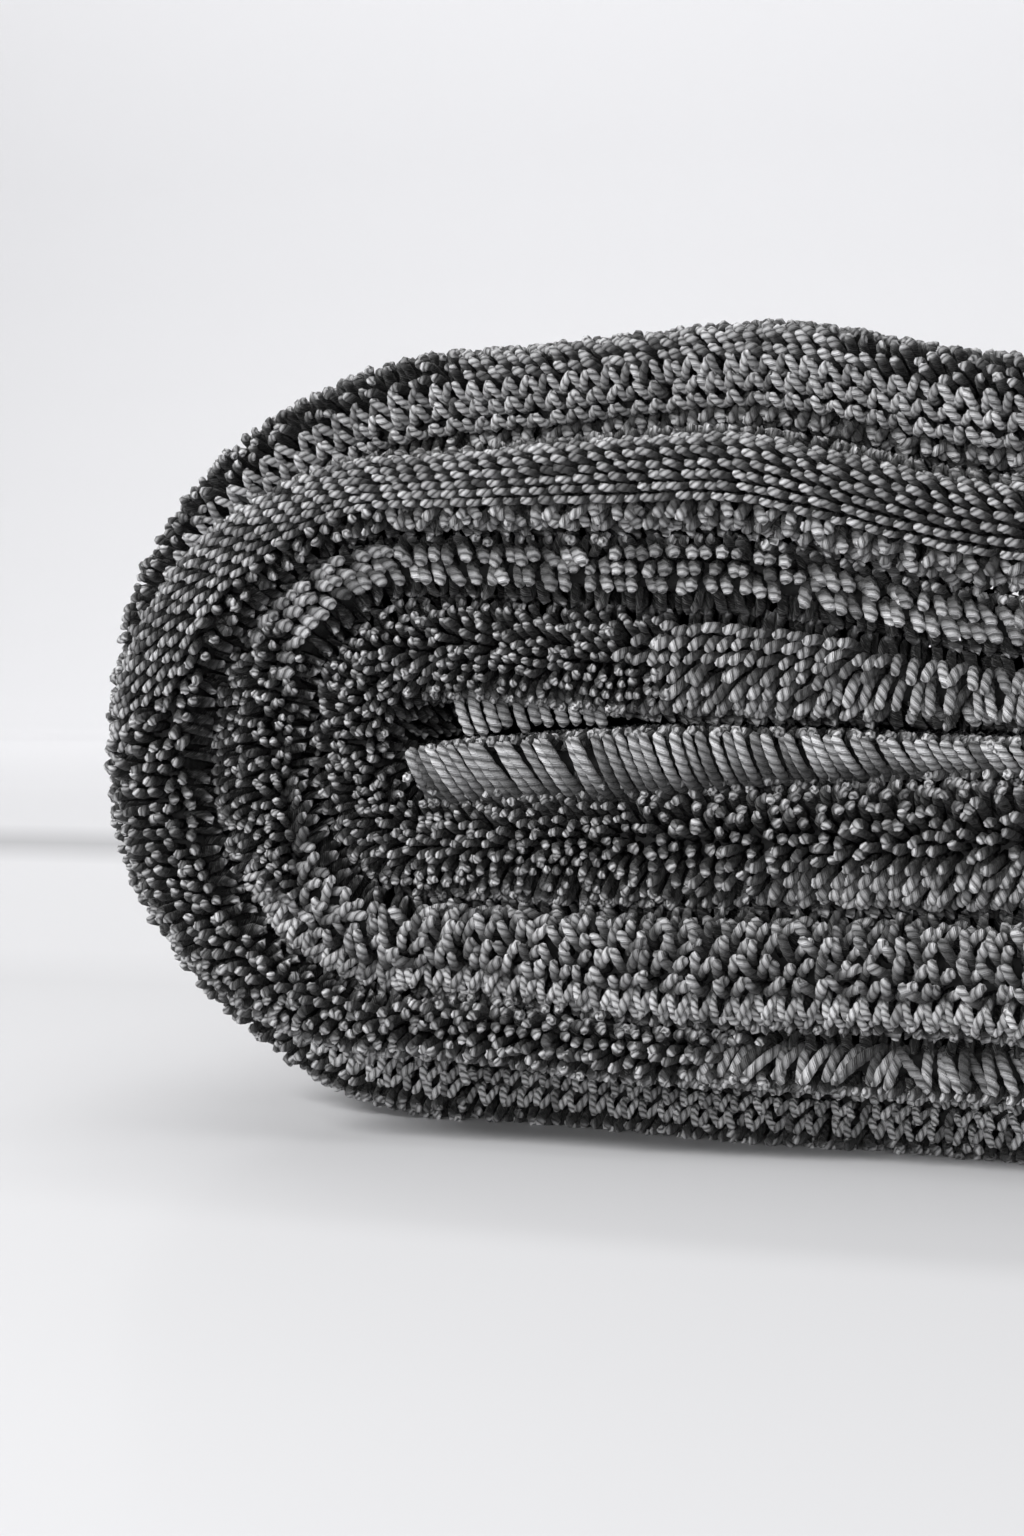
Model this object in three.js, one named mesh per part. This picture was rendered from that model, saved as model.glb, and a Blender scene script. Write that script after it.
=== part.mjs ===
// Rolled drying towel: one length of cloth with a looped pile, folded double along its length and then wound
// flat around its own end. Millimetres, +Z up. The winding runs round the Y axis. The folded edge faces -Y,
// the two hemmed edges face +Y, and the roll lies on z = 0 with its loose end underneath.

import * as THREE from "three";

// Driving dimensions
const foldedWidth = 250; // from the fold to the hems, half of a cloth 500 wide
const leftBend = -28; // line along X where the left bends begin
const rightBend = 35; // line along X where the right bends begin
const turnGap = 0.6; // slack between one turn and the next
const innerEnd = -27.5; // where the cloth starts, inside the left bends
const looseEnd = 42; // where the cloth ends, under the right bends
const endRounding = 5; // length over which either end of the cloth thins out
const endThickness = 0.3; // share of the thickness that is left at the very end
const middle = 3; // where the middle column of the layers is measured, along X
const foldDepth = 0.45; // how far the fold bulges, in half thicknesses
const foldBluntness = 0.5; // 1 is a round fold, less is a blunter one
const hemDepth = 1.1; // how far each hem bulges, in quarter thicknesses
const edgeWave = { height: 0.7, length: 37 }; // the edges wander in and out along the cloth
const widthSwell = { share: 0.012, length: 230 }; // the roll widens and narrows along its axis
const heightSwell = { share: 0.018, length: 190 };

// Faceting
const bendSteps = 12;
const passSteps = 5;
const endSteps = 4;
const foldSteps = 6;
const hemSteps = 4;
const lengthSteps = 5;

// Layers from the surface up. pass counts the runs of the cloth between two bends, from its inner end on.
// The other columns give the height that the layer takes at the left bends, the middle and the right bends.
const layers = [
  { pass: 8, left: 8.9, middle: 7.3, right: 7.1 },
  { pass: 6, left: 5.8, middle: 5.5, right: 5.9 },
  { pass: 4, left: 9.4, middle: 11.1, right: 11.2 },
  { pass: 2, left: 10.1, middle: 12.0, right: 12.7 },
  { pass: 0, left: 5.6, middle: 5.5, right: 3.6 },
  { pass: "hollow", left: 4.0, middle: 0.4, right: 0.6 },
  { pass: 1, left: 10.3, middle: 10.4, right: 6.7 },
  { pass: 3, left: 6.0, middle: 7.3, right: 5.4 },
  { pass: 5, left: 8.0, middle: 10.0, right: 10.7 },
  { pass: 7, left: 11.3, middle: 10.9, right: 11.6 },
];
const lastPass = 8;

// How far the bends reach past the lines where they begin: the hollow first, then the outside of each bend.
const bendReaches = [
  { left: 2.4, right: 0.5 },
  { left: 11.6, right: 4.2 },
  { left: 21.8, right: 11.0 },
  { left: 32.0, right: 19.0 },
  { left: 43.0, right: 27.0 },
];

// How far behind the foremost point the folded edge lies where each pass begins and where it ends.
const setbacks = [
  { pass: 0, begins: 4, ends: 3 },
  { pass: 1, begins: 3, ends: 6 },
  { pass: 2, begins: 6, ends: 2 },
  { pass: 3, begins: 2, ends: 3.5 },
  { pass: 4, begins: 3.5, ends: 0.5 },
  { pass: 5, begins: 0.5, ends: 1 },
  { pass: 6, begins: 1, ends: 5 },
  { pass: 7, begins: 5, ends: 20 },
  { pass: 8, begins: 20, ends: 13 },
];

const { lerp, smoothstep } = THREE.MathUtils;

// Places along the axis where every turn has a row of points, so that neighbouring turns keep their gap
const facePlaces = [];
for (let i = 1; i < lengthSteps; i++) facePlaces.push((foldedWidth * i) / lengthSteps);

// Upper passes run to the left and lower ones to the right
const isUpper = (pass) => pass % 2 === 1;

// Height of one layer at a place along X
function layerHeight(layer, x) {
  if (x < middle) return lerp(layer.left, layer.middle, smoothstep(x, leftBend, middle));
  return lerp(layer.middle, layer.right, smoothstep(x, middle, rightBend));
}

// Heights of the two faces of one pass at a place along X: the outer face looks away from the hollow
function passFaces(pass, x) {
  const index = layers.findIndex((layer) => layer.pass === pass);
  const heights = layers.map((layer) => layerHeight(layer, x));
  const bottom = heights.slice(0, index).reduce((sum, height) => sum + height, 0);
  const top = bottom + heights[index];
  return isUpper(pass) ? { inner: bottom, outer: top } : { inner: top, outer: bottom };
}

// Share of the thickness near a free end, so that the end is rounded
function endShare(distance) {
  const share = Math.min(distance / endRounding, 1);
  return Math.max(endThickness, Math.sqrt(1 - (1 - share) ** 2));
}

// The places along X of one pass, in the order in which the cloth runs
function passPlaces(pass) {
  const from = pass === 0 ? innerEnd : leftBend;
  const to = pass === lastPass ? looseEnd : rightBend;
  const places = [];
  for (let i = 0; i <= passSteps; i++) places.push(lerp(leftBend, rightBend, i / passSteps));
  for (let i = 0; i < endSteps; i++) {
    const reach = endRounding * (1 - Math.cos((i / endSteps) * (Math.PI / 2)));
    if (pass === 0) places.push(from + reach);
    if (pass === lastPass) places.push(to - reach);
  }
  const inside = places.filter((x) => x >= from && x <= to).sort((a, b) => a - b);
  return isUpper(pass) ? inside.reverse() : inside;
}

// One section of the cloth: the points of its inner and outer face, how much of the thickness it fills,
// and how far back its fold lies
function passSections(pass) {
  return passPlaces(pass).map((x) => {
    const { inner, outer } = passFaces(pass, x);
    const run = (x - leftBend) / (rightBend - leftBend);
    const { begins, ends } = setbacks[pass];
    let share = 1;
    if (pass === 0) share = endShare(x - innerEnd);
    if (pass === lastPass) share = endShare(looseEnd - x);
    return {
      inner: new THREE.Vector2(x, inner),
      outer: new THREE.Vector2(x, outer),
      share,
      setback: lerp(begins, ends, isUpper(pass) ? 1 - run : run),
    };
  });
}

// The half turn that joins a pass to the next one: upper passes turn down at the left, lower ones turn up
// at the right
function bendSections(pass) {
  const side = isUpper(pass) ? -1 : 1;
  const place = side < 0 ? leftBend : rightBend;
  const column = side < 0 ? "left" : "right";
  const nest = Math.floor(pass / 2);
  const before = passFaces(pass, place);
  const after = passFaces(pass + 1, place);
  const facePoint = (face, reach, angle) => {
    const centre = (before[face] + after[face]) / 2;
    const rise = Math.abs(before[face] - after[face]) / 2;
    return new THREE.Vector2(place + side * reach * Math.cos(angle), centre + rise * Math.sin(angle));
  };
  const sections = [];
  for (let i = 1; i < bendSteps; i++) {
    const angle = Math.PI * (i / bendSteps - 0.5) * side;
    sections.push({
      inner: facePoint("inner", bendReaches[nest][column], angle),
      outer: facePoint("outer", bendReaches[nest + 1][column], angle),
      share: 1,
      setback: setbacks[pass].ends,
    });
  }
  return sections;
}

function woundSections() {
  const sections = [];
  for (let pass = 0; pass <= lastPass; pass++) {
    sections.push(...passSections(pass));
    if (pass < lastPass) sections.push(...bendSections(pass));
  }
  return sections;
}

// The outline of one section: out is the distance from its middle and y the distance along the roll's axis.
// It runs round the fold, back along the outer face, round the two hems and forward along the inner face.
function sectionOutline(half, fold) {
  const outline = [];
  for (let i = 0; i <= foldSteps; i++) {
    const angle = Math.PI * (i / foldSteps - 0.5);
    const out = half * Math.sign(angle) * Math.abs(Math.sin(angle)) ** foldBluntness;
    const bulge = half * foldDepth * (1 - Math.abs(Math.cos(angle)) ** foldBluntness);
    outline.push({ out, y: fold + bulge });
  }
  for (const y of facePlaces) outline.push({ out: half, y });
  for (const hemOut of [half / 2, -half / 2]) {
    for (let i = hemOut > 0 ? 0 : 1; i <= hemSteps; i++) {
      const angle = Math.PI * (0.5 - i / hemSteps);
      const bulge = (half / 2) * hemDepth * (1 - Math.cos(angle));
      outline.push({ out: hemOut + (half / 2) * Math.sin(angle), y: fold + foldedWidth - bulge });
    }
  }
  for (const y of facePlaces.toReversed()) outline.push({ out: -half, y });
  return outline;
}

const swell = ({ share, length }, y) => 1 + share * Math.sin((2 * Math.PI * y) / length);
const sectionMiddle = (section) => section.inner.clone().lerp(section.outer, 0.5);

// Points of one section in space
function sectionPoints(section, runLength) {
  const centre = sectionMiddle(section);
  const across = section.outer.clone().sub(section.inner);
  const half = ((across.length() - turnGap) / 2) * section.share;
  const outwards = across.normalize();
  const wave = edgeWave.height * Math.sin((2 * Math.PI * runLength) / edgeWave.length);
  return sectionOutline(half, section.setback + wave).map(({ out, y }) => {
    const x = (centre.x + out * outwards.x) * swell(widthSwell, y);
    const z = (centre.y + out * outwards.y - turnGap / 2) * swell(heightSwell, y);
    return new THREE.Vector3(x, y, z);
  });
}

// The closed surface of the wound cloth: rings of points joined along the winding, with a cap at either end
function towelGeometry() {
  const sections = woundSections();
  const points = [];
  const triangles = [];
  let runLength = 0;
  sections.forEach((section, i) => {
    if (i > 0) runLength += sectionMiddle(section).distanceTo(sectionMiddle(sections[i - 1]));
    points.push(...sectionPoints(section, runLength));
  });
  const around = points.length / sections.length;
  for (let ring = 0; ring + 1 < sections.length; ring++) {
    for (let i = 0; i < around; i++) {
      const a = ring * around + i;
      const b = ring * around + ((i + 1) % around);
      triangles.push(a, b, b + around, a, b + around, a + around);
    }
  }
  const lastRing = (sections.length - 1) * around;
  triangles.push(...capTriangles(0, around, true));
  triangles.push(...capTriangles(lastRing, around, false));

  const geometry = new THREE.BufferGeometry().setFromPoints(points);
  geometry.setIndex(triangles);
  return standOnOrigin(geometry);
}

// The cap over one ring: a strip between the two faces, then a fan around the groove between the hems
function capTriangles(firstPoint, around, isStart) {
  const across = (i) => (foldSteps - i + around) % around;
  const lastFace = foldSteps + facePlaces.length;
  const groove = (foldSteps + around) / 2;
  const triangles = [];
  const add = (...corners) => {
    const turned = isStart ? corners.reverse() : corners;
    triangles.push(...turned.map((i) => firstPoint + i));
  };
  for (let i = foldSteps / 2; i < lastFace; i++) {
    add(i, i + 1, across(i + 1));
    if (across(i) !== i) add(i, across(i + 1), across(i));
  }
  add(lastFace, groove, across(lastFace));
  for (let i = lastFace; i + 1 < groove; i++) {
    add(groove, i, i + 1);
    add(groove, across(i + 1), across(i));
  }
  return triangles;
}

// Puts the middle of the base at the origin
function standOnOrigin(geometry) {
  geometry.computeBoundingBox();
  const { min, max } = geometry.boundingBox;
  geometry.translate(-(min.x + max.x) / 2, -(min.y + max.y) / 2, -min.z);
  geometry.computeVertexNormals();
  return geometry;
}

const yarn = new THREE.MeshStandardMaterial({ color: 0x5b5b5d, roughness: 0.92, metalness: 0 });
const towel = new THREE.Mesh(towelGeometry(), yarn);
towel.name = "towel";

const rolledTowel = new THREE.Group();
rolledTowel.add(towel);

export default rolledTowel;
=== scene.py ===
"""Dresses the rolled drying towel: the wound ground cloth, the twisted loops of its pile, a table and light.

The winding repeats the sizes of the solid in millimetres. What is made from it is placed in metres.
"""

import math
from collections import namedtuple

import bpy
import numpy as np
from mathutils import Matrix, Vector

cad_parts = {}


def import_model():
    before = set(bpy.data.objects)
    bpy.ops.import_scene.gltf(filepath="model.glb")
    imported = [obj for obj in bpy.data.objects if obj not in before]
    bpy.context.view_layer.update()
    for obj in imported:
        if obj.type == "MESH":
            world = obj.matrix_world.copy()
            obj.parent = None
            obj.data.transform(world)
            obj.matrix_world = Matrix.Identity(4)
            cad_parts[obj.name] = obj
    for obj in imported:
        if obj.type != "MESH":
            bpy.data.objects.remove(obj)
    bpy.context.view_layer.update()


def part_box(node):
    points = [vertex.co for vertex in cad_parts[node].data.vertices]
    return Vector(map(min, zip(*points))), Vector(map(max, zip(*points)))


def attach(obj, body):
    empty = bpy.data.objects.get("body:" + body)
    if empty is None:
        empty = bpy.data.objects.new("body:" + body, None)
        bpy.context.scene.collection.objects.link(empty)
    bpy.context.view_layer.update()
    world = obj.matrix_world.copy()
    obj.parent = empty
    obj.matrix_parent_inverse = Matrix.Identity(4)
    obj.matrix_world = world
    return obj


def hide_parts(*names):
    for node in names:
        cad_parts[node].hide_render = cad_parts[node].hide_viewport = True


MM = 0.001
rng = np.random.default_rng(20)

# The winding, as in the solid
FOLDED_WIDTH = 250.0
LEFT_BEND = -28.0
RIGHT_BEND = 35.0
TURN_GAP = 0.6
INNER_END = -27.5
LOOSE_END = 42.0
END_ROUNDING = 5.0
END_THICKNESS = 0.3
MIDDLE = 3.0
FOLD_DEPTH = 0.45
FOLD_BLUNTNESS = 0.5
EDGE_WAVE = {"height": 0.7, "length": 37.0}
WIDTH_SWELL = {"share": 0.012, "length": 230.0}
HEIGHT_SWELL = {"share": 0.018, "length": 190.0}
LAST_PASS = 8

# Layers from the surface up: the pass of the cloth and the height it takes
Layer = namedtuple("Layer", "number left middle right")
LAYERS = [
    Layer(8, 8.9, 7.3, 7.1),
    Layer(6, 5.8, 5.5, 5.9),
    Layer(4, 9.4, 11.1, 11.2),
    Layer(2, 10.1, 12.0, 12.7),
    Layer(0, 5.6, 5.5, 3.6),
    Layer("hollow", 4.0, 0.4, 0.6),
    Layer(1, 10.3, 10.4, 6.7),
    Layer(3, 6.0, 7.3, 5.4),
    Layer(5, 8.0, 10.0, 10.7),
    Layer(7, 11.3, 10.9, 11.6),
]
# How far the bends reach past the lines where they begin, at the left and the right, from the hollow outwards
BEND_REACHES = [(2.4, 0.5), (11.6, 4.2), (21.8, 11.0), (32.0, 19.0), (43.0, 27.0)]
# How far back the folded edge lies where each pass begins and ends
SETBACKS = [(4, 3), (3, 6), (6, 2), (2, 3.5), (3.5, 0.5), (0.5, 1), (1, 5), (5, 20), (20, 13)]

# The pile
PILE_DEPTH = 4.6  # from the tips of the loops to the ground cloth
GROUND_SHARE = 0.42  # the least half thickness of the doubled ground cloth, as a share of the turn's
YARN_RADIUS = 0.68
STRANDS = 2
FIBRES = 9  # fine ridges that show on the strands, round the yarn
TWIST_PITCH = 2.1  # length of a full twist of the strands
STRAND_GROOVE = 0.24  # depth of the groove between the strands, as a share of the radius
REACH_OVER = 0.5  # how far the pile of one turn pushes into the next at the folded edge
FLANK_OVER = 2.0  # the same behind the folded edge
RAGGED_ENDS = 3.0  # how far the rows of neighbouring bands run into each other

# How loops lie. rise is the angle above the cloth and heading the way they lean: 0 is outwards, 90 along
# the winding. swing is the alternating part of the heading, scatter tells how unruly they are, reach is the
# length along the cloth, pitch and row are the spacings, stagger is the share of the pitch that each row is
# shifted by, width is a share of the yarn's.
Lay = namedtuple("Lay", "rise heading swing scatter reach pitch row stagger width grade")
LAYS = {
    "tips": Lay(55, 0, 0, 0.4, 1.5, 1.55, 1.48, 0.5, 0.82, "tip"),
    "dots": Lay(55, 0, 0, 0.35, 1.3, 1.22, 1.18, 0.5, 0.66, "tip"),
    "rows": Lay(52, 0, 0, 0.2, 1.5, 1.42, 1.32, 0.5, 0.82, "tip"),
    "hidden": Lay(84, 0, 0, 0.5, 1.0, 1.8, 1.8, 0.5, 1.0, "tip"),
    "herringbone": Lay(14, 0, 24, 0.25, 2.8, 1.16, 2.3, 0.5, 0.74, "stitch"),
    "small_herringbone": Lay(14, 0, 27, 0.3, 2.3, 1.02, 1.75, 0.5, 0.66, "stitch"),
    "scales": Lay(26, 76, 0, 0.2, 2.3, 1.75, 1.22, 0.38, 0.62, "scale"),
    "dashes": Lay(40, 60, 0, 0.4, 2.6, 1.6, 1.4, 0.5, 0.78, "scale"),
    "curls": Lay(30, 172, 22, 0.7, 3.8, 1.3, 1.9, 0.5, 0.82, "lean"),
    "beads": Lay(46, 180, 35, 0.9, 2.6, 1.45, 1.5, 0.5, 0.84, "lean"),
    "drooping": Lay(36, 207, 0, 0.5, 3.9, 1.55, 2.1, 0.5, 0.98, "lean"),
    "stubs": Lay(54, 207, 0, 0.5, 3.2, 1.6, 1.7, 0.5, 0.95, "lean"),
    "upright": Lay(20, 180, 0, 0.4, 4.6, 1.5, 3.0, 0.5, 0.8, "rope"),
    "falling": Lay(14, 14, 0, 0.6, 7.6, 1.3, 7.0, 0.5, 0.84, "rope"),
    "falling_back": Lay(18, -20, 0, 0.5, 6.6, 1.3, 7.0, 0.5, 0.84, "rope"),
    "leaning_in": Lay(42, 145, 0, 0.5, 3.4, 1.55, 1.65, 0.5, 0.84, "lean"),
    "leaning_out": Lay(38, -35, 0, 0.5, 3.4, 1.55, 1.7, 0.5, 0.84, "lean"),
}

# Where loops lie in which way on the folded edge. where is the pass, or the bend after it as .5; the shares
# run along it; across runs from the inner face (-1) to the outer one (1) and a little on round the corners.
Band = namedtuple("Band", "where share_from share_to across_from across_to lay")
BANDS = [
    Band(0, 0.0, 1.0, -1.9, -1.0, "tips"),
    Band(0, 0.0, 1.0, 1.25, 1.7, "tips"),
    Band(0.5, 0.0, 1.0, -1.3, 1.3, "hidden"),
    Band(1, 0.0, 0.26, -1.3, 0.9, "upright"),
    Band(1, 0.26, 0.6, -1.3, 0.85, "leaning_in"),
    Band(1, 0.6, 1.0, -1.4, 0.85, "dots"),
    Band(1.5, 0.0, 1.0, -1.0, 0.8, "dots"),
    Band(2, 0.0, 0.4, -1.3, 1.2, "dots"),
    Band(2, 0.4, 1.0, -1.3, 0.3, "tips"),
    Band(2, 0.4, 0.58, 0.3, 1.2, "tips"),
    Band(2, 0.58, 1.0, 0.3, 1.1, "leaning_out"),
    Band(2.5, 0.0, 1.0, -1.2, 1.2, "hidden"),
    Band(3, 0.0, 1.0, 0.75, 1.25, "tips"),
    Band(3, 0.0, 0.35, -0.5, 0.75, "drooping"),
    Band(3, 0.35, 0.7, -0.5, 0.75, "stubs"),
    Band(3, 0.7, 1.0, -0.5, 0.75, "drooping"),
    Band(3.5, 0.0, 0.3, -0.5, 0.85, "drooping"),
    Band(3.5, 0.3, 0.72, -0.8, 0.8, "dots"),
    Band(3.5, 0.72, 1.0, -0.8, 0.4, "curls"),
    Band(3.5, 0.72, 1.0, 0.4, 0.95, "small_herringbone"),
    Band(4, 0.0, 1.0, -1.2, 0.4, "curls"),
    Band(4, 0.0, 1.0, 0.4, 0.95, "small_herringbone"),
    Band(4, 0.0, 1.0, 0.95, 1.3, "tips"),
    Band(4.5, 0.0, 1.0, -1.2, 1.2, "hidden"),
    Band(5, 0.0, 1.0, -0.4, 1.2, "scales"),
    Band(5, 0.0, 1.0, -1.3, -0.4, "beads"),
    Band(5.5, 0.0, 0.45, -0.4, 1.05, "scales"),
    Band(5.5, 0.0, 0.45, -1.0, -0.4, "tips"),
    Band(5.5, 0.45, 1.0, -0.8, 1.1, "rows"),
    Band(6, 0.0, 0.54, -1.4, 1.4, "rows"),
    Band(6, 0.54, 0.74, -1.1, 0.8, "falling_back"),
    Band(6, 0.74, 1.0, -1.1, 0.8, "falling"),
    Band(6, 0.54, 1.0, 0.8, 1.5, "tips"),
    Band(6.5, 0.0, 1.0, -1.2, 1.2, "hidden"),
    Band(7, 0.0, 0.3, 0.3, 1.2, "tips"),
    Band(7, 0.3, 1.0, 0.3, 1.2, "dashes"),
    Band(7, 0.0, 1.0, -0.6, 0.3, "herringbone"),
    Band(7, 0.0, 1.0, -1.3, -0.6, "beads"),
    Band(7.5, 0.0, 1.0, 0.3, 1.3, "tips"),
    Band(7.5, 0.0, 1.0, -0.6, 0.3, "herringbone"),
    Band(7.5, 0.0, 1.0, -1.2, -0.6, "rows"),
    Band(8, 0.0, 1.0, -1.3, 0.5, "small_herringbone"),
    Band(8, 0.0, 1.0, 0.5, 1.1, "tips"),
]

# Ropes that hang in front of the hollow: the shares of the first upper pass between which they hang, and how
# far down the first and the last of them reach
HOLLOW_ROPES = {"pitch": 1.5, "width": 0.9, "shares": (0.68, 0.95), "drops": (1.4, 3.3)}

# Ropes that stand in front of the innermost pass: the degrees that they lean by, the scatter of that in
# radians, and how far under the pass they begin at some shares of it
CORE_ROPES = {
    "pitch": 1.26,
    "width": 0.82,
    "lean": 22,
    "scatter": 0.039,
    "shares": (0.0, 0.1, 0.3, 0.6),
    "starts": (0.4, 1.4, 1.6, 0.2),
}

# Loops away from the folded edge
FACE_PITCH = 1.9  # their spacing on the faces that are half hidden
FACE_LEAN = 1.2
FLANK_VIEW = 6.0  # how far back the gaps between the turns can be looked into
HOLLOW_VIEW = 32.0  # the same for the hollow
OUTSIDE_LEAN = 2.0
OUTSIDE_REACH = FOLDED_WIDTH - 6  # how far back the loops on the outside go
FRINGE = 6.5  # width of the finer loops on the outside, next to the folded edge
FRINGE_PITCH = 1.6
FRINGE_OVER = 0.7  # how far they stand out past the face
HEM_PITCH = 2.1
HEM_ROWS = (-0.62, 0.0, 0.62)  # shares across each hem
END_ROWS = (-1.2, -0.4, 0.4, 1.2)  # shares of the half thickness at the loose end
END_REACH = FOLDED_WIDTH - 10  # how far back the loops at the loose end go

# The outside of the roll: the pass, or the bend after it as .5, with the spacing of its loops
Outside = namedtuple("Outside", "where label pitch")
OUTSIDES = [
    Outside(6.5, "right", 2.2),
    Outside(7, "top", 2.05),
    Outside(7.5, "left", 2.1),
    Outside(8, "under", 2.7),
]

# How finely a loop is built: its sides, the shares of its length that carry a ring, and the shares between
# which its painted shade, darkest at the root, gives way to the yarn's own grey
Grade = namedtuple("Grade", "sides rings dark_to light_from")
GRADES = {
    "rope": Grade(8, np.linspace(0.0, 0.97, 16), -0.5, 1.15),
    "lean": Grade(6, np.append(0.0, np.linspace(0.35, 0.965, 8)), 0.3, 0.95),
    "stitch": Grade(6, np.append(0.0, np.linspace(0.4, 0.965, 7)), 0.1, 0.5),
    "scale": Grade(6, np.append(0.0, np.linspace(0.45, 0.965, 6)), 0.4, 0.85),
    "tip": Grade(6, np.array([0.0, 0.6, 0.75, 0.87, 0.965]), 0.64, 0.86),
    "far": Grade(3, np.array([0.0, 0.6, 0.93]), 0.2, 0.9),
    "flank": Grade(3, np.array([0.0, 0.6, 0.93]), 0.55, 1.0),
}

Loops = namedtuple("Loops", "root bend tip radius")

# Greys: of the yarn from its root, darkened as painted shade, to its light tip; of the ground cloth, painted
# nearly black as the shade in the gaps between the loops; and of the table from the roll back to the
# backdrop, in metres, darker near the roll and lighter far back as painted light, with a soft band of painted
# shade where the table ends
YARN_GREYS = [(0.0, 0.005), (0.45, 0.052), (1.0, 0.6)]
GROUND_PAINTED_SHADE = [(0.0, 0.006), (1.0, 0.03)]
TABLE_PAINTED_LIGHT = [(0.0, 0.64), (0.05, 0.71), (0.27, 0.84), (0.36, 0.54), (0.46, 0.88), (0.8, 0.93)]

# Lamps in metres and watts
Lamp = namedtuple("Lamp", "name place target size power")
LAMPS = [
    Lamp("key", (-0.45, -0.6, 0.5), (0, -0.1, 0.04), (0.3, 0.3), 6.6),
    Lamp("fill", (0.1, -1.0, 0.11), (0, -0.1, 0.03), (0.8, 0.2), 4.8),
    Lamp("overhead", (0.0, -0.1, 1.4), (0, 0.0, 0.04), (1.6, 1.2), 4.8),
    Lamp("backdrop", (-1.1, 1.2, 2.3), (-1.1, 2.4, 0.3), (3.0, 0.6), 40.0),
]


def fold_shape():
    """The folded edge for a half thickness of 1: shares along it, how far out, how far back, its length."""
    angle = np.linspace(-math.pi / 2, math.pi / 2, 721)
    out = np.sign(angle) * np.abs(np.sin(angle)) ** FOLD_BLUNTNESS
    back = FOLD_DEPTH * (1 - np.abs(np.cos(angle)) ** FOLD_BLUNTNESS)
    run = np.concatenate([[0.0], np.cumsum(np.hypot(np.diff(out), np.diff(back)))])
    length = run[-1] / 2
    share = np.concatenate([[-3.0], run / length - 1, [3.0]])
    out = np.concatenate([[-1.0], out, [1.0]])
    behind = FOLD_DEPTH + 2 * length
    back = np.concatenate([[behind], back, [behind]])
    return share, out, back, length


FOLD_SHARE, FOLD_OUT, FOLD_BACK, FOLD_LENGTH = fold_shape()


def smoothstep(value, low, high):
    """A soft step from 0 at the low value to 1 at the high one."""
    share = np.clip((value - low) / (high - low), 0.0, 1.0)
    return share * share * (3 - 2 * share)


def layer_height(layer, x):
    """Height of one layer at places along X."""
    near_left = layer.left + (layer.middle - layer.left) * smoothstep(x, LEFT_BEND, MIDDLE)
    near_right = layer.middle + (layer.right - layer.middle) * smoothstep(x, MIDDLE, RIGHT_BEND)
    return np.where(x < MIDDLE, near_left, near_right)


def is_upper(number):
    """Upper passes run to the left and lower ones to the right."""
    return number % 2 == 1


def pass_faces(number, x):
    """Heights of the inner and the outer face of one pass at places along X."""
    below = np.zeros_like(x)
    for layer in LAYERS:
        height = layer_height(layer, x)
        if layer.number == number:
            return (below, below + height) if is_upper(number) else (below + height, below)
        below = below + height
    raise ValueError(f"no layer holds pass {number}")


def pass_sections(number, steps):
    """Rows for one pass: the points of its two faces, the share of the thickness it fills, its setback."""
    start = INNER_END if number == 0 else LEFT_BEND
    stop = LOOSE_END if number == LAST_PASS else RIGHT_BEND
    x = np.linspace(start, stop, steps + 1)
    x = x[::-1] if is_upper(number) else x
    inner, outer = pass_faces(number, x)
    to_end = np.full_like(x, END_ROUNDING)
    if number == 0:
        to_end = x - INNER_END
    if number == LAST_PASS:
        to_end = LOOSE_END - x
    rounded = np.sqrt(1 - (1 - np.clip(to_end / END_ROUNDING, 0, 1)) ** 2)
    run = (x - LEFT_BEND) / (RIGHT_BEND - LEFT_BEND)
    run = 1 - run if is_upper(number) else run
    begins, ends = SETBACKS[number]
    setback = begins + (ends - begins) * run
    return np.stack([x, inner, x, outer, np.maximum(rounded, END_THICKNESS), setback], axis=1)


def bend_sections(number, steps):
    """The same rows for the half turn that joins a pass to the next one."""
    side, place, column = (-1, LEFT_BEND, 0) if is_upper(number) else (1, RIGHT_BEND, 1)
    at_bend = np.array([place])
    before, after = pass_faces(number, at_bend), pass_faces(number + 1, at_bend)
    angle = math.pi * (np.arange(1, steps) / steps - 0.5) * side
    columns = []
    for face in (0, 1):
        centre = (before[face] + after[face]) / 2
        rise = abs(before[face] - after[face]) / 2
        reach = BEND_REACHES[number // 2 + face][column]
        columns += [place + side * reach * np.cos(angle), centre + rise * np.sin(angle)]
    columns += [np.ones_like(angle), np.full_like(angle, SETBACKS[number][1])]
    return np.stack(columns, axis=1)


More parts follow.
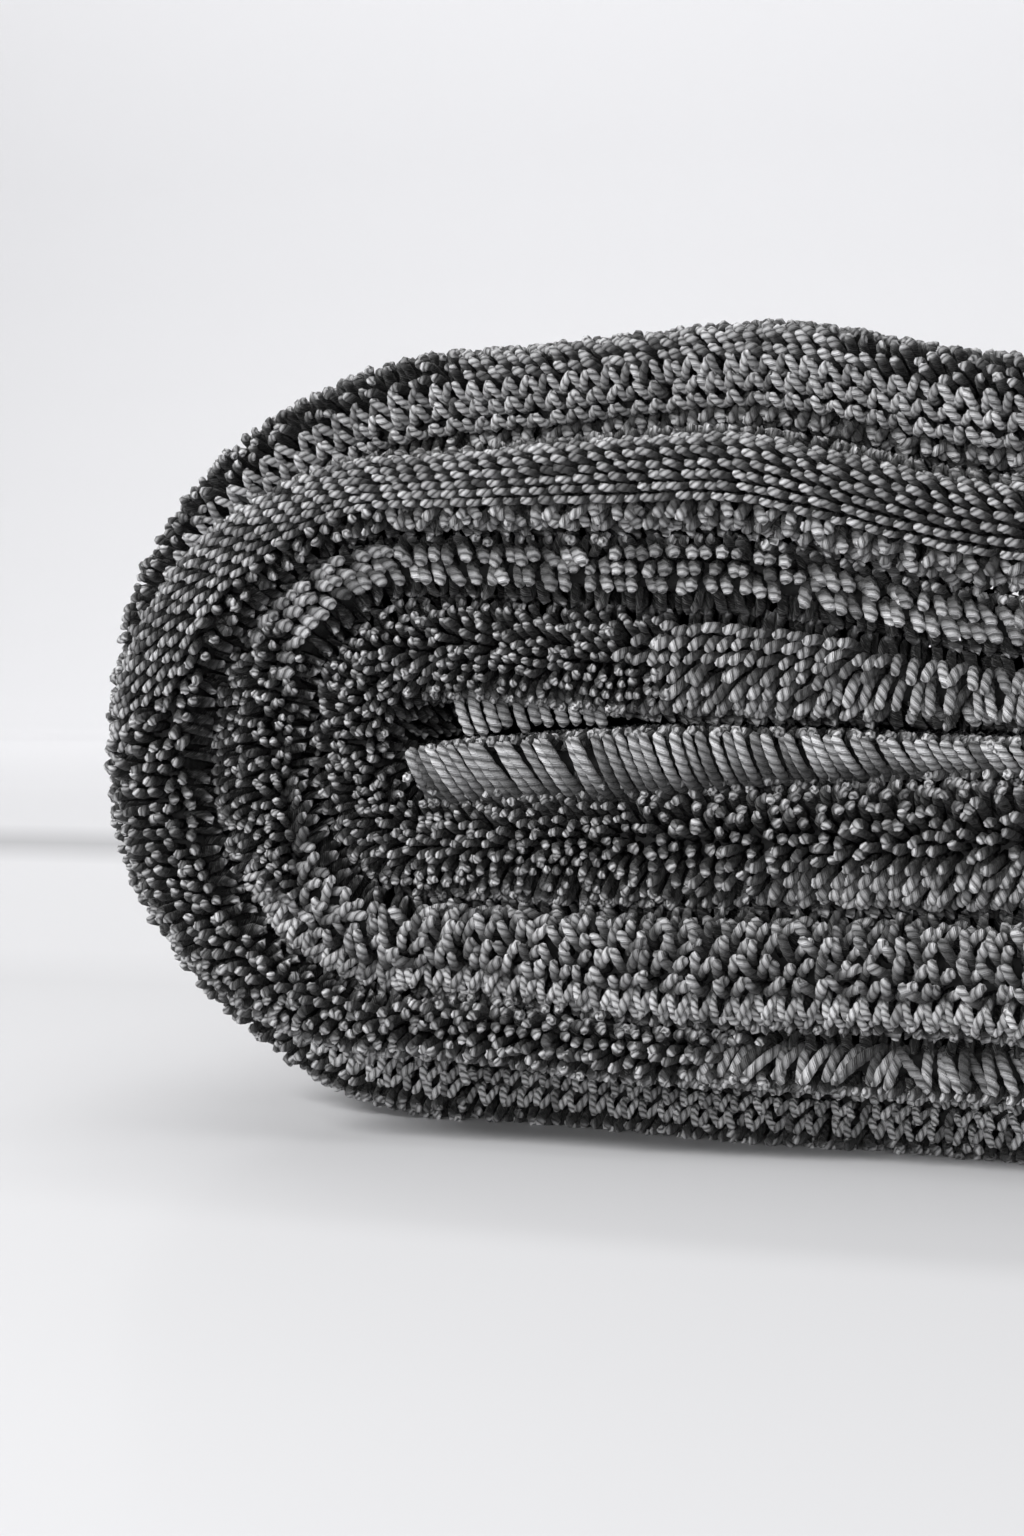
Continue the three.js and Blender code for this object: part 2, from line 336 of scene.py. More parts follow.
class Winding:
    """The wound cloth as curves over the distance along it."""

    def __init__(self, steps=80):
        parts, spans = [], {}
        total = 0
        for number in range(LAST_PASS + 1):
            parts.append(pass_sections(number, steps))
            spans[number] = (total, total + len(parts[-1]) - 1)
            total += len(parts[-1])
            if number < LAST_PASS:
                parts.append(bend_sections(number, steps))
                spans[number + 0.5] = (total - 1, total + len(parts[-1]))
                total += len(parts[-1])
        sections = np.concatenate(parts)
        self.middle = (sections[:, 0:2] + sections[:, 2:4]) / 2
        across = sections[:, 2:4] - sections[:, 0:2]
        thickness = np.hypot(across[:, 0], across[:, 1])
        self.outwards = across / thickness[:, None]
        self.half = (thickness - TURN_GAP) / 2 * sections[:, 4]
        self.setback = sections[:, 5]
        steps_along = np.hypot(*np.diff(self.middle, axis=0).T)
        self.distance = np.concatenate([[0.0], np.cumsum(steps_along)])
        self.length = self.distance[-1]
        self.spans = {where: (self.distance[a], self.distance[b]) for where, (a, b) in spans.items()}

    def lookup(self, values, s):
        """Values of one of the curves at distances along the cloth."""
        if values.ndim == 1:
            return np.interp(s, self.distance, values)
        return np.stack([np.interp(s, self.distance, column) for column in values.T], axis=-1)

    def half_at(self, s):
        """Half the thickness of the turn, from its middle to the tips of the pile."""
        return self.lookup(self.half, s)

    def fold_at(self, s):
        """How far back the foremost point of the folded edge lies."""
        wave = EDGE_WAVE["height"] * np.sin(2 * math.pi * s / EDGE_WAVE["length"])
        return self.lookup(self.setback, s) + wave

    def size_at(self, s, depth):
        """Half the thickness at a depth under the tips of the pile."""
        half = self.half_at(s)
        ground = np.maximum(half - PILE_DEPTH, GROUND_SHARE * half)
        return half + (ground - half) * np.clip(depth / PILE_DEPTH, -0.2, 1)

    def point(self, s, out, y):
        """A point in space, out from the middle of the turn and y back from the foremost edge."""
        outwards = self.lookup(self.outwards, s)
        outwards = outwards / np.linalg.norm(outwards, axis=-1, keepdims=True)
        flat = self.lookup(self.middle, s) + outwards * out[..., None]
        width = 1 + WIDTH_SWELL["share"] * np.sin(2 * math.pi * y / WIDTH_SWELL["length"])
        height = 1 + HEIGHT_SWELL["share"] * np.sin(2 * math.pi * y / HEIGHT_SWELL["length"])
        return np.stack([flat[..., 0] * width, y, (flat[..., 1] - TURN_GAP / 2) * height], axis=-1)

    def edge(self, s, across, depth):
        """A point round the folded edge, at a share across it and a depth under the tips of the pile."""
        size = self.size_at(s, depth)
        out = np.interp(across, FOLD_SHARE, FOLD_OUT)
        back = np.interp(across, FOLD_SHARE, FOLD_BACK)
        return self.point(s, size * out, self.fold_at(s) + np.maximum(depth, 0.0) + size * back)

    def face(self, s, side, back, depth):
        """A point on the inner (-1) or outer (1) face, back from the fold's bulge and under the tips."""
        bulge = self.half_at(s) * FOLD_DEPTH
        return self.point(s, side * self.size_at(s, depth), self.fold_at(s) + bulge + back)

    def hem(self, s, side, across, depth):
        """A point round one of the two hems, at a share across it."""
        quarter = self.half_at(s) / 2
        angle = across * math.pi / 2
        radius = quarter * (1 - np.clip(depth / PILE_DEPTH, 0, 1) * 0.8)
        tip = self.fold_at(s) + FOLDED_WIDTH - depth
        out = side * quarter + radius * np.sin(angle)
        return self.point(s, out, tip - radius * (1 - np.cos(angle)))


def evenly_along(curve, start, stop, pitch):
    """Distances along the winding that are evenly spaced on a curve drawn over it."""
    grid = np.linspace(start, stop, max(8, int((stop - start) / 0.25)))
    points = curve(grid)
    run = np.concatenate([[0.0], np.cumsum(np.linalg.norm(np.diff(points, axis=0), axis=1))])
    count = max(1, round(run[-1] / pitch))
    return np.interp((np.arange(count) + 0.5) / count * run[-1], run, grid)


def joined(groups):
    """Several groups of loops as one."""
    return Loops(*(np.concatenate(columns) for columns in zip(*groups)))


def yarn_radii(count, width):
    """Uneven radii for many loops, width being a share of the yarn's."""
    return YARN_RADIUS * width * rng.normal(1, 0.06, count).clip(0.8, 1.2)


def upright_loops(winding, lay, s, across):
    """Loops that stand on the folded edge and show their tips."""
    count = len(s)
    heading = 1.6 * np.sin(s / 9 + 3 * across) + rng.normal(0, 0.9, count)
    flat = lay.reach * math.cos(math.radians(lay.rise)) + np.abs(rng.normal(0, lay.scatter, count))
    local = np.maximum(winding.half_at(s), 1.0) * FOLD_LENGTH
    tip_s = np.clip(s + flat * np.sin(heading), 0, winding.length)
    sunk = 0.3 + np.abs(rng.normal(0, 0.1 + 0.6 * lay.scatter, count))
    corner = np.clip((abs(across) - 0.8) / 0.3, 0, 1)
    root = winding.edge(s, across + rng.normal(0, 0.25 * lay.scatter, count) / local, PILE_DEPTH)
    tip = winding.edge(tip_s, across + flat * np.cos(heading) / local, sunk - corner * REACH_OVER)
    bend = winding.edge(s, across, sunk - 0.7)
    return Loops(root, bend, tip, yarn_radii(count, lay.width))


def lying_loops(winding, lay, s, across, row):
    """Loops that rise from the folded edge and then lie along it, so that their sides show."""
    count = len(s)
    turn = np.where((np.arange(count) + row) % 2 == 0, 1, -1) * lay.swing
    heading = np.radians(lay.heading + turn + rng.normal(0, 24 * lay.scatter, count))
    flat = lay.reach * math.cos(math.radians(lay.rise)) * rng.normal(1, 0.08 + 0.1 * lay.scatter, count)
    local = np.maximum(winding.half_at(s), 1.0) * FOLD_LENGTH
    step_across = flat * np.cos(heading) / local
    step_along = flat * np.sin(heading)
    begin_across = across - step_across / 2 + rng.normal(0, 0.2 * lay.scatter, count) / local
    begin_s = np.clip(s - step_along / 2, 0, winding.length)
    sunk = np.abs(rng.normal(0, 0.2 + 0.5 * lay.scatter, count))
    root = winding.edge(begin_s, begin_across, PILE_DEPTH)
    bend = winding.edge(begin_s + step_along * 0.1, begin_across + step_across * 0.1, 0.4 + sunk)
    tip_s = np.clip(begin_s + step_along, 0, winding.length)
    tip = winding.edge(tip_s, begin_across + step_across, 0.6 + 0.7 * sunk)
    return Loops(root, bend, tip, yarn_radii(count, lay.width))


def edge_loops(winding, band):
    """The loops of one band of the folded edge, row by row."""
    lay = LAYS[band.lay]
    begin, end = winding.spans[band.where]
    shares = np.array([band.share_from, band.share_to])
    ends = begin + (end - begin) * shares
    half = np.mean(winding.half_at(np.linspace(*ends, 9)))
    width = band.across_to - band.across_from
    rows = max(1, round(width * half * FOLD_LENGTH / lay.row))
    groups = []
    for row in range(rows):
        across = band.across_from + width * (row + 0.5) / rows
        ragged = RAGGED_ENDS * np.sin(5 * across + 11 * shares) * (shares > 0) * (shares < 1)
        start, stop = ends + ragged
        s = evenly_along(lambda run, a=across: winding.edge(run, a, 0.0), start, stop, lay.pitch)
        s = s + rng.normal(0, 0.08 + 0.35 * lay.scatter, len(s)) + row * lay.stagger % 1 * lay.pitch
        s = np.clip(s, start, stop)
        if lay.grade == "tip":
            groups.append(upright_loops(winding, lay, s, across))
        else:
            groups.append(lying_loops(winding, lay, s, across, row))
    return joined(groups)


def hollow_loops(winding):
    """Ropes that hang from the cloth above the hollow, in front of it."""
    begin, end = winding.spans[1]
    start, stop = (begin + (end - begin) * share for share in HOLLOW_ROPES["shares"])
    s = evenly_along(lambda run: winding.edge(run, -1.0, 0.0), start, stop, HOLLOW_ROPES["pitch"])
    count = len(s)
    s = s + rng.normal(0, 0.2, count)
    drop = np.linspace(*HOLLOW_ROPES["drops"], count) * rng.normal(1, 0.12, count)
    half = winding.half_at(s)
    front = winding.fold_at(s) + half * FOLD_DEPTH
    root = winding.edge(s, -0.9, PILE_DEPTH)
    bend = winding.point(s, -half, front - 0.6)
    tip = winding.point(s - 0.5 * drop, -half - drop, front + 0.6)
    return Loops(root, bend, tip, yarn_radii(count, HOLLOW_ROPES["width"]))


def core_loops(winding):
    """Ropes that stand in front of the innermost pass and lean towards its inner end."""
    begin, end = winding.spans[0]
    s = evenly_along(lambda run: winding.edge(run, 0.0, 0.0), begin + 1.0, end, CORE_ROPES["pitch"])
    count = len(s)
    under = np.interp((s - begin) / (end - begin), CORE_ROPES["shares"], CORE_ROPES["starts"])
    s = s + rng.normal(0, 0.07, count)
    half = winding.half_at(np.maximum(s, 2.2))
    front = winding.fold_at(s) + np.abs(rng.normal(0.3, 0.25, count))
    sway = 1 + 0.4 * np.sin(s / 7)
    lean = np.radians(CORE_ROPES["lean"]) * sway + rng.normal(0, CORE_ROPES["scatter"], count)
    tip_s = s - np.tan(lean) * (2 * half + under)
    root = winding.point(s, half + under, front + PILE_DEPTH)
    bend = winding.point(s, half + under - 0.5, front + 0.2)
    tip = winding.point(tip_s, -half, front + 0.6)
    return Loops(root, bend, tip, yarn_radii(count, CORE_ROPES["width"]))


def face_loops(winding, span, side, back_from, back_to, pitch, lean, over):
    """Loops in rows on one face of the cloth, leaning as a brushed pile does."""
    groups = []
    rows = max(1, round((back_to - back_from) / pitch))
    for row in range(rows):
        back = back_from + (back_to - back_from) * (row + 0.5) / rows
        s = evenly_along(lambda run, b=back: winding.face(run, side, b, 0.0), *span, pitch)
        count = len(s)
        s = s + rng.normal(0, 0.3, count) + (row % 2) * pitch / 2
        s = np.clip(s, *span)
        place = back + rng.normal(0, 0.3, count)
        drift = np.sin(s / 23 + back / 31) + np.sin(s / 11 - back / 17 + 2) + rng.normal(0, 0.7, count)
        flat = lean * rng.normal(1, 0.2, count)
        tip_s = np.clip(s + flat * np.sin(1.3 * drift), 0, winding.length)
        sunk = 0.5 - over + np.abs(rng.normal(0, 0.35, count))
        root = winding.face(s, side, place, PILE_DEPTH)
        bend = winding.face(s, side, place, 0.6)
        tip = winding.face(tip_s, side, place + flat * np.cos(1.3 * drift), sunk)
        groups.append(Loops(root, bend, tip, yarn_radii(count, 1.0)))
    return joined(groups)


def hem_loops(winding, side, across):
    """One row of loops round one of the two hems."""
    s = evenly_along(lambda run: winding.hem(run, side, across, 0.0), 0.5, winding.length - 0.5, HEM_PITCH)
    count = len(s)
    place = across + rng.normal(0, 0.08, count)
    tip_s = np.clip(s + rng.normal(0, 1.1, count), 0, winding.length)
    root = winding.hem(s, side, place, PILE_DEPTH)
    tip = winding.hem(tip_s, side, place, np.abs(rng.normal(0.9, 0.4, count)))
    bend = (root + tip) / 2 + rng.normal(0, 0.2, (count, 3))
    return Loops(root, bend, tip, yarn_radii(count, 1.0))


def end_loops(winding, side):
    """One row of loops over the loose end of the cloth, at a share of its half thickness."""
    back = np.arange(0.5, END_REACH, FACE_PITCH)
    count = len(back)
    place = back + rng.normal(0, 0.3, count)
    root = winding.face(np.full(count, winding.length - 3.0), side, place, PILE_DEPTH)
    tip = winding.face(np.full(count, winding.length), side, place + rng.normal(0, 0.7, count), 0.0)
    tip[:, 0] += rng.uniform(0.1, 0.8, count)
    bend = (root + tip) / 2 + rng.normal(0, 0.2, (count, 3))
    return Loops(root, bend, tip, yarn_radii(count, 1.0))


def unit(vectors):
    """The vectors at a length of 1."""
    return vectors / np.maximum(np.linalg.norm(vectors, axis=-1, keepdims=True), 1e-9)


def loop_points(loops, grade):
    """Points of many loops, each with its rings and then its tip, and where their twist begins and turns."""
    root, bend, tip = (points[:, None, :] for points in loops[:3])
    share = grade.rings[None, :, None]
    centre = (1 - share) ** 2 * root + 2 * share * (1 - share) * bend + share**2 * tip
    along = unit((1 - share) * (bend - root) + share * (tip - bend))
    chord = loops.tip - loops.root
    span = np.linalg.norm(chord, axis=1)
    rise = np.linalg.norm(loops.bend - loops.root, axis=1) + np.linalg.norm(loops.tip - loops.bend, axis=1)
    length = (span + rise) / 2
    hinge = np.cross(loops.bend - loops.root, loops.tip - loops.bend)
    straight = np.linalg.norm(hinge, axis=1) < 0.05 * span**2
    any_direction = np.array([0.31, 0.2, 0.93])
    spare = np.cross(chord, any_direction)
    hinge = unit(np.where(straight[:, None], spare, hinge))[:, None, :]
    first = unit(hinge - along * np.sum(hinge * along, axis=2, keepdims=True))
    second = np.cross(along, first)

    to_end = (1 - grade.rings) * length[:, None] / loops.radius[:, None]
    size = loops.radius[:, None] * np.sqrt(1 - (1 - np.clip(to_end, 0, 1)) ** 2)
    around = np.arange(grade.sides) / grade.sides
    begins = rng.uniform(0, 1, len(length))
    turns = length / TWIST_PITCH
    twist = around + (begins[:, None] + turns[:, None] * grade.rings)[:, :, None]
    strand = np.abs(np.cos(math.pi * STRANDS * twist))
    radius = size[:, :, None] * (1 - STRAND_GROOVE * (1 - strand))
    wide = (radius * np.cos(2 * math.pi * around))[..., None] * first[:, :, None, :]
    high = (radius * np.sin(2 * math.pi * around))[..., None] * second[:, :, None, :]
    rings = (centre[:, :, None, :] + wide + high).reshape(len(length), -1, 3)
    points = np.concatenate([rings, loops.tip[:, None, :]], axis=1)
    points[:, :, 2] = np.maximum(points[:, :, 2], 0.0)
    return points, begins, turns


def loop_faces(grade):
    """Corners of one loop's faces, and for each corner its place around and along the yarn."""
    sides, rings = grade.sides, grade.rings
    faces, places = [], []
    for ring in range(len(rings) - 1):
        low, high = ring * sides, (ring + 1) * sides
        for side in range(sides):
            after = (side + 1) % sides
            left, right = side / sides, (side + 1) / sides
            faces.append([low + side, low + after, high + after, high + side])
            begin, end = rings[ring], rings[ring + 1]
            places.append([(left, begin), (right, begin), (right, end), (left, end)])
    last, tip = (len(rings) - 1) * sides, len(rings) * sides
    for side in range(sides):
        left, right = side / sides, (side + 1) / sides
        faces.append([last + side, last + (side + 1) % sides, tip])
        places.append([(left, rings[-1]), (right, rings[-1]), ((left + right) / 2, 1.0)])
    faces.append(list(range(sides))[::-1])
    places.append([(side / sides, 0.0) for side in range(sides)][::-1])
    return faces, places


def add_yarn_maps(mesh, place, begins, turns):
    """The map that twists with the yarn, and one that gives each loop a cell of its own."""
    count = len(begins)
    yarn = np.repeat(place[None, :, :], count, axis=0)
    yarn[:, :, 0] += begins[:, None] + yarn[:, :, 1] * turns[:, None]
    columns = math.ceil(math.sqrt(count))
    cell = np.stack([np.arange(count) % columns, np.arange(count) // columns], axis=1)
    baked = (cell[:, None, :] + 0.08 + 0.84 * place[None, :, :]) / columns
    mesh.uv_layers.new(name="yarn").data.foreach_set("uv", yarn.astype(np.float32).ravel())
    mesh.uv_layers.new(name="OFBake").data.foreach_set("uv", baked.astype(np.float32).ravel())


def add_tone_and_painted_shade(mesh, grade, count):
    """How light each point of the loops is: painted shade that darkens the root, times a tone that is uneven
    from loop to loop.
    """
    shares = np.append(np.repeat(grade.rings, grade.sides), 1.0)
    # Painted shade: the yarn is darkened from the root up to where its own grey begins
    light = smoothstep(shares, grade.dark_to, grade.light_from)
    tone_and_painted_shade = rng.normal(0.8, 0.13, (count, 1)).clip(0.45, 1) * light
    mesh.attributes.new("tone_and_painted_shade", "FLOAT", "POINT").data.foreach_set("value", tone_and_painted_shade.astype(np.float32).ravel())


def make_loops(name, loops, grade_name, material, shift):
    """One mesh of many loops."""
    grade = GRADES[grade_name]
    points, begins, turns = loop_points(loops, grade)
    count, per_loop = points.shape[:2]
    faces, places = loop_faces(grade)
    corners = np.concatenate(faces)
    all_corners = (corners[None, :] + np.arange(count)[:, None] * per_loop).ravel()
    sizes = np.tile([len(face) for face in faces], count)
    starts = np.concatenate([[0], np.cumsum(sizes)[:-1]])

    mesh = bpy.data.meshes.new(name)
    mesh.vertices.add(count * per_loop)
    mesh.vertices.foreach_set("co", ((points.reshape(-1, 3) + shift) * MM).astype(np.float32).ravel())
    mesh.loops.add(len(all_corners))
    mesh.loops.foreach_set("vertex_index", all_corners.astype(np.int32))
    mesh.polygons.add(len(sizes))
    mesh.polygons.foreach_set("loop_start", starts.astype(np.int32))
    mesh.polygons.foreach_set("use_smooth", np.ones(len(sizes), dtype=bool))

    add_yarn_maps(mesh, np.concatenate(places), begins, turns)
    add_tone_and_painted_shade(mesh, grade, count)
    mesh.update(calc_edges=True)
    mesh.materials.append(material)
    piece = bpy.data.objects.new(name, mesh)
    bpy.context.collection.objects.link(piece)
    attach(piece, "root")
    return piece


def make_front(winding, material, shift):
    """The loops round the folded edge."""
    sets = {}
    for band in BANDS:
        side = "inner" if band.where < 4 else "outer"
        grade = LAYS[band.lay].grade
        sets.setdefault((grade, side), []).append(edge_loops(winding, band))
    sets["rope", "inner"] += [hollow_loops(winding), core_loops(winding)]
    return [
        make_loops(f"pile_{grade}_{side}", joined(groups), grade, material, shift)
        for (grade, side), groups in sets.items()
    ]


def make_flanks(winding, material, shift):
    """The loops behind the folded edge on both faces of every turn, as far back as can be looked into."""
    groups = []
    for where, span in winding.spans.items():
        for side in (-1, 1):
            if side > 0 and where >= LAST_PASS - 1.5:
                continue
            bare = HOLLOW_VIEW if where < 2 and side < 0 else FLANK_VIEW
            neighbour = where + 2 * side
            if neighbour in winding.spans:
                setback = winding.fold_at(np.mean(span))
                bare += max(0.0, winding.fold_at(np.mean(winding.spans[neighbour])) - setback)
            groups.append(face_loops(winding, span, side, 0.6, bare, FACE_PITCH, FACE_LEAN, FLANK_OVER))
    return [make_loops("pile_flanks", joined(groups), "flank", material, shift)]


def make_outside(winding, material, shift):
    """The loops on the outside of the roll: finer next to the folded edge."""
    pieces = []
    near = []
    for outside in OUTSIDES:
        span = winding.spans[outside.where]
        begin = 0.4
        if outside.label in ("top", "left"):
            near.append(face_loops(winding, span, 1, begin, FRINGE, FRINGE_PITCH, FACE_LEAN, FRINGE_OVER))
            begin = FRINGE
        loops = face_loops(winding, span, 1, begin, OUTSIDE_REACH, outside.pitch, OUTSIDE_LEAN, 0.0)
        pieces.append(make_loops(f"pile_outside_{outside.label}", loops, "far", material, shift))
    pieces.append(make_loops("pile_outside_edge", joined(near), "tip", material, shift))
    return pieces


def make_hems(winding, material, shift):
    """The loops round the two hems, and on the faces that stand out past the next turn at the far end."""
    groups = [hem_loops(winding, side, across) for side in (-1, 1) for across in HEM_ROWS]
    last_row = FOLDED_WIDTH - 5
    for where, span in winding.spans.items():
        for side in (-1, 1):
            next_span = winding.spans.get(where + 2 * side)
            if next_span is None:
                continue
            bare = max(winding.fold_at(np.array(span)) - winding.fold_at(np.array(next_span)))
            if bare > 2.0:
                first_row = last_row - bare - 3.0
                rows = face_loops(winding, span, side, first_row, last_row, FACE_PITCH, FACE_LEAN, 0.0)
                groups.append(rows)
    return [make_loops("pile_hems", joined(groups), "far", material, shift)]


def make_loose_end(winding, material, shift):
    """The loops on the loose end, where it comes out from under the last bend."""
    bare = (winding.length - 10.0, winding.length - 0.3)
    groups = [face_loops(winding, bare, -1, 0.6, END_REACH, FACE_PITCH, FACE_LEAN, 0.0)]
    groups += [end_loops(winding, side) for side in END_ROWS]
    return [make_loops("pile_loose_end", joined(groups), "far", material, shift)]


def make_ground(winding, material, shift):
    """The ground cloth: one sheet, doubled at the fold, wound with the roll."""
    s = np.linspace(0.6, winding.length - 0.6, 360)
    reach = FOLDED_WIDTH - PILE_DEPTH - 4.0
    backs = np.array([1.0, 0.85, 0.7, 0.55, 0.4, 0.25, 0.12, 0.04]) * reach
    columns = [winding.face(s, -1, back, PILE_DEPTH) for back in backs]
    columns += [winding.edge(s, across, PILE_DEPTH) for across in np.linspace(-1, 1, 7)]
    columns += [winding.face(s, 1, back, PILE_DEPTH) for back in backs[::-1]]
    grid = np.stack(columns, axis=1)
    rows, width = grid.shape[:2]
    index = np.arange(rows * width).reshape(rows, width)
    corners = [index[:-1, :-1], index[:-1, 1:], index[1:, 1:], index[1:, :-1]]
    quads = np.stack(corners, axis=-1).reshape(-1, 4)
    mesh = bpy.data.meshes.new("towel_ground")
    mesh.from_pydata(((grid.reshape(-1, 3) + shift) * MM).tolist(), [], quads.tolist())
    mesh.polygons.foreach_set("use_smooth", np.ones(len(quads), dtype=bool))
    mesh.materials.append(material)
    piece = bpy.data.objects.new("towel_ground", mesh)
    bpy.context.collection.objects.link(piece)
    thick = piece.modifiers.new("cloth", "SOLIDIFY")
    thick.thickness = 0.7 * MM
    thick.offset = 0.0
    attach(piece, "root")
    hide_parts("towel")
    return piece


def new_material(name):
    """A new material with its nodes and its shader."""
    material = bpy.data.materials.new(name)
    material.use_nodes = True
    return material, material.node_tree, material.node_tree.nodes["Principled BSDF"]


def maths(tree, operation, *values):
    """A maths node fed by numbers or by other nodes' outputs."""
    made = tree.nodes.new("ShaderNodeMath")
    made.operation = operation
    for socket, value in zip(made.inputs, values):
        if isinstance(value, (int, float)):
            socket.default_value = value
        else:
            tree.links.new(value, socket)
    return made.outputs[0]


def ramp(tree, value, stops):
    """A colour ramp over greys: stops are pairs of a place and a grey."""
    made = tree.nodes.new("ShaderNodeValToRGB")
    elements = made.color_ramp.elements
    while len(elements) < len(stops):
        elements.new(0.5)
    for element, (place, grey) in zip(elements, stops):
        element.position = place
        element.color = (grey, grey, grey * 1.02, 1)
    tree.links.new(value, made.inputs[0])
    return made.outputs["Color"]


def noise(tree, scale, detail):
    """Even noise in the piece's own space."""
    place = tree.nodes.new("ShaderNodeTexCoord")
    made = tree.nodes.new("ShaderNodeTexNoise")
    made.inputs["Scale"].default_value = scale
    made.inputs["Detail"].default_value = detail
    tree.links.new(place.outputs["Object"], made.inputs["Vector"])
    return made.outputs["Fac"]


def add_bump(tree, shader, height, distance, strength):
    """Fine relief from a height, over a distance in metres."""
    bump = tree.nodes.new("ShaderNodeBump")
    bump.inputs["Strength"].default_value = strength
    bump.inputs["Distance"].default_value = distance
    tree.links.new(height, bump.inputs["Height"])
    tree.links.new(bump.outputs[0], shader.inputs["Normal"])


def yarn_material():
    """Grey twisted yarn: painted shade darkens it towards the roots and in the grooves between the strands;
    the grooves and fine fibres are also in its relief.
    """
    material, tree, shader = new_material("twisted_yarn")
    uv = tree.nodes.new("ShaderNodeUVMap")
    uv.uv_map = "yarn"
    split = tree.nodes.new("ShaderNodeSeparateXYZ")
    tree.links.new(uv.outputs[0], split.inputs[0])
    tone_and_painted_shade = tree.nodes.new("ShaderNodeAttribute")
    tone_and_painted_shade.attribute_name = "tone_and_painted_shade"

    wave = maths(tree, "COSINE", maths(tree, "MULTIPLY", split.outputs["X"], STRANDS * math.pi))
    strand = maths(tree, "ABSOLUTE", wave)
    fibre_wave = maths(tree, "COSINE", maths(tree, "MULTIPLY", split.outputs["X"], FIBRES * 2 * math.pi))
    fuzz = maths(tree, "MULTIPLY", noise(tree, 2600, 3), 0.6)
    fibres = maths(tree, "MULTIPLY_ADD", fibre_wave, 0.1, fuzz)
    # Painted shade: the colour darkens in the grooves between the strands, in wider grooves towards the tip
    near_tip = maths(tree, "MAXIMUM", maths(tree, "SUBTRACT", split.outputs["Y"], 0.75), 0.0)
    sharpness = maths(tree, "MULTIPLY_ADD", near_tip, 4.0, 0.6)
    painted_groove_shade = maths(tree, "MULTIPLY_ADD", maths(tree, "POWER", strand, sharpness), 1.0, 0.14)
    painted_shade_colour = tree.nodes.new("ShaderNodeVectorMath")
    painted_shade_colour.operation = "SCALE"
    tree.links.new(ramp(tree, tone_and_painted_shade.outputs["Fac"], YARN_GREYS), painted_shade_colour.inputs[0])
    tree.links.new(painted_groove_shade, painted_shade_colour.inputs["Scale"])
    tree.links.new(painted_shade_colour.outputs[0], shader.inputs["Base Color"])
    add_bump(tree, shader, maths(tree, "ADD", fibres, strand), 0.0004, 0.9)
    shader.inputs["Roughness"].default_value = 0.6
    shader.inputs["Specular IOR Level"].default_value = 0.3
    shader.inputs["Sheen Weight"].default_value = 0.15
    shader.inputs["Sheen Roughness"].default_value = 0.45
    return material


def ground_material():
    """The woven ground under the pile, painted nearly black as the shade in the gaps between the loops."""
    material, tree, shader = new_material("ground_cloth_painted_shade")
    weave = noise(tree, 900, 2)
    tree.links.new(ramp(tree, weave, GROUND_PAINTED_SHADE), shader.inputs["Base Color"])
    add_bump(tree, shader, weave, 0.0004, 1.0)
    shader.inputs["Roughness"].default_value = 0.9
    return material


def stage_material():
    """White, with painted light: darker near the roll and lighter far back, and a soft band of painted shade
    where the table ends and the backdrop begins.
    """
    material, tree, shader = new_material("white_table")
    place = tree.nodes.new("ShaderNodeTexCoord")
    split = tree.nodes.new("ShaderNodeSeparateXYZ")
    tree.links.new(place.outputs["Object"], split.inputs[0])
    tree.links.new(ramp(tree, split.outputs["Y"], TABLE_PAINTED_LIGHT), shader.inputs["Base Color"])
    shader.inputs["Roughness"].default_value = 0.2
    shader.inputs["IOR"].default_value = 1.035
    return material


def make_stage():
    """A pale table top that runs up into a backdrop."""
    front, half_width, top = -6.0, 2.5, 2.2
    cove_start, cove_radius, steps = 1.9, 0.6, 8
    profile = [(front, 0.0)]
    for step in range(steps + 1):
        angle = step / steps * math.pi / 2
        profile.append((cove_start + cove_radius * math.sin(angle), cove_radius * (1 - math.cos(angle))))
    profile.append((cove_start + cove_radius, top))
    points, faces = [], []
    for depth, height in profile:
        points += [(-half_width, depth, height), (half_width, depth, height)]
    for i in range(len(profile) - 1):
        faces.append((2 * i, 2 * i + 1, 2 * i + 3, 2 * i + 2))
    mesh = bpy.data.meshes.new("table_top")
    mesh.from_pydata(points, [], faces)
    mesh.polygons.foreach_set("use_smooth", np.ones(len(faces), dtype=bool))
    mesh.materials.append(stage_material())
    table = bpy.data.objects.new("table_top", mesh)
    bpy.context.collection.objects.link(table)


def make_light(lamp):
    """An oblong lamp that looks at its target."""
    data = bpy.data.lights.new(lamp.name, "AREA")
    data.shape = "RECTANGLE"
    data.size, data.size_y = lamp.size
    data.energy = lamp.power
    light = bpy.data.objects.new(lamp.name, data)
    bpy.context.collection.objects.link(light)
    light.location = lamp.place
    aim = np.array(lamp.target) - np.array(lamp.place)
    tilt = math.atan2(math.hypot(aim[0], aim[1]), -aim[2])
    light.rotation_euler = (tilt, 0.0, math.atan2(aim[1], aim[0]) - math.pi / 2)


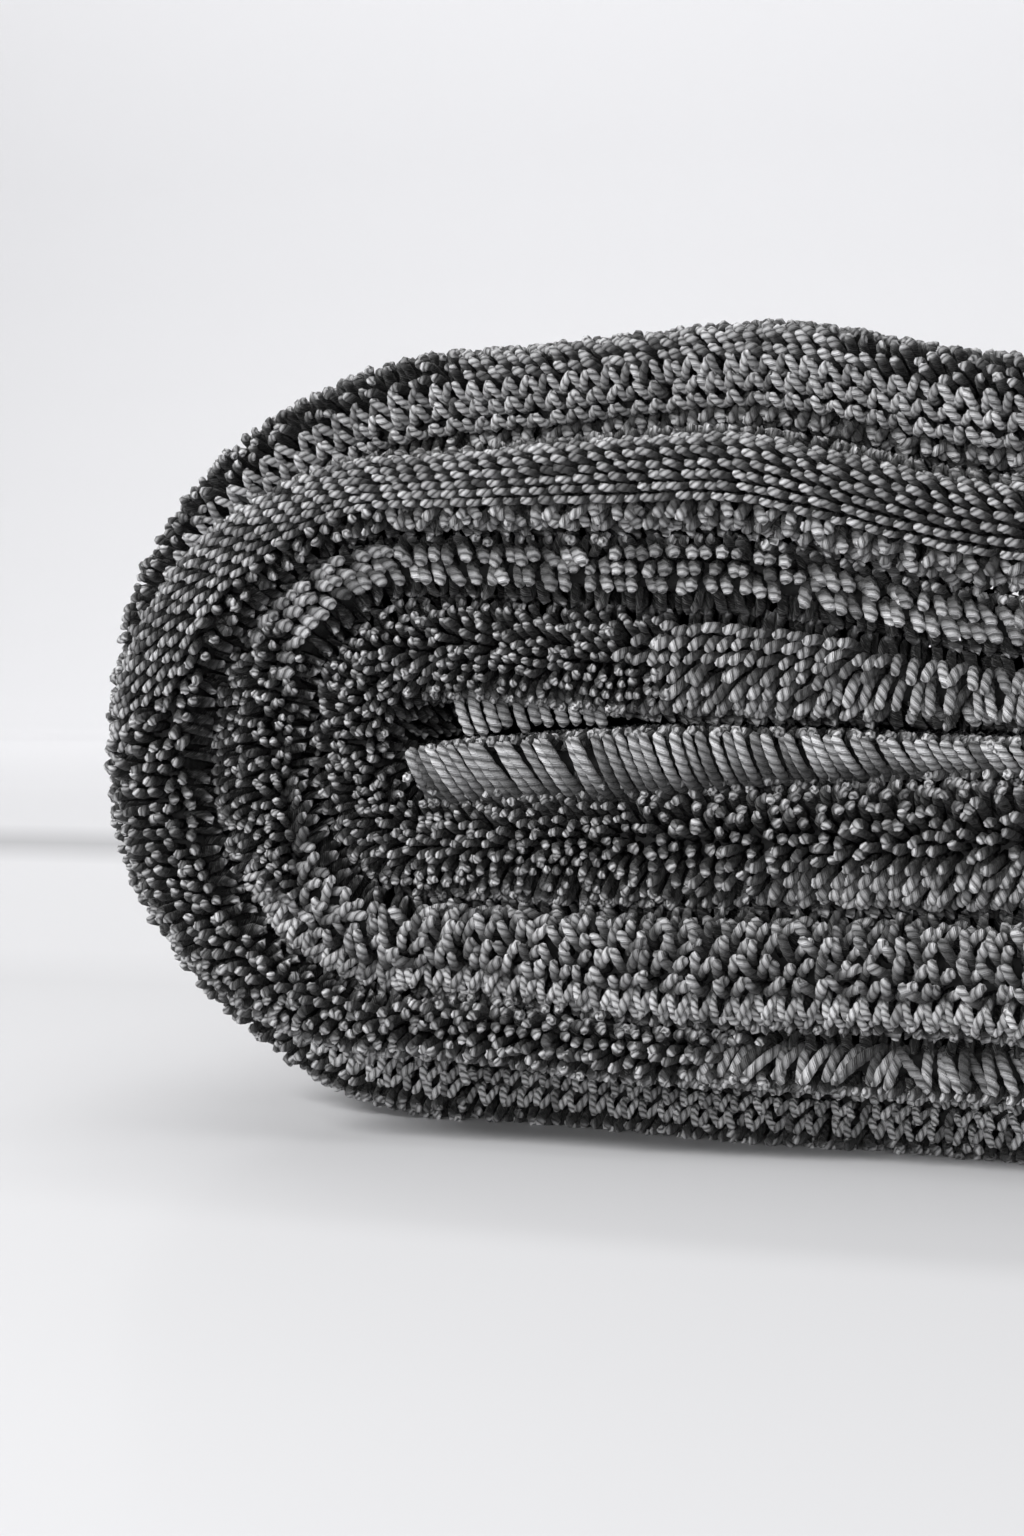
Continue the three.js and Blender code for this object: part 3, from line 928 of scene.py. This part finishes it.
def make_lights():
    """The lamps and a dim even light from all round."""
    for lamp in LAMPS:
        make_light(lamp)
    world = bpy.data.worlds.new("studio")
    world.use_nodes = True
    background = world.node_tree.nodes["Background"]
    background.inputs["Color"].default_value = (0.93, 0.93, 0.94, 1)
    background.inputs["Strength"].default_value = 0.2
    bpy.context.scene.world = world
    bpy.context.scene.view_settings.view_transform = "Standard"


def make_camera(shift):
    """The photograph's view: from a little to the right, level with the middle of the roll."""
    view_turn, view_tilt = math.radians(22), math.radians(-1.5)
    distance, eye_height = 284.0, 44.7
    aim = np.array([-14.5, 0.0, 0.0]) + shift
    place = aim + distance * np.array([math.sin(view_turn), -math.cos(view_turn), 0.0])
    camera_data = bpy.data.cameras.new("camera")
    camera_data.sensor_fit = "VERTICAL"
    camera_data.sensor_height = 36.0
    camera_data.lens = 70.0
    camera_data.clip_start = 0.01
    camera = bpy.data.objects.new("camera", camera_data)
    bpy.context.collection.objects.link(camera)
    camera.location = (place[0] * MM, place[1] * MM, eye_height * MM)
    camera.rotation_euler = (math.pi / 2 + view_tilt, 0.0, view_turn)
    bpy.context.scene.camera = camera


def winding_shift(winding):
    """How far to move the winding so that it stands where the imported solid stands."""
    s = np.linspace(0, winding.length, 4000)
    fronts = winding.edge(s, 0.0, 0.0)
    backs = winding.hem(s, 1, 0.0, 0.0)
    sides = np.concatenate([winding.face(s, 1, back, 0.0) for back in (10, 60, 120, 180, 235)])
    low = np.array([sides[:, 0].min(), fronts[:, 1].min()])
    high = np.array([sides[:, 0].max(), backs[:, 1].max()])
    solid_low, solid_high = (np.array(corner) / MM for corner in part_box("towel"))
    return np.append((solid_low + solid_high)[:2] / 2 - (low + high) / 2, 0.0)


def main():
    """Builds the dressed towel where the solid stands, with the camera, a table and the lamps."""
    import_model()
    winding = Winding()
    shift = winding_shift(winding)
    make_camera(shift)
    yarn = yarn_material()
    ground = make_ground(winding, ground_material(), shift)
    pile = make_front(winding, yarn, shift)
    pile += make_flanks(winding, yarn, shift)
    pile += make_outside(winding, yarn, shift)
    pile += make_hems(winding, yarn, shift)
    pile += make_loose_end(winding, yarn, shift)
    make_stage()
    make_lights()


main()
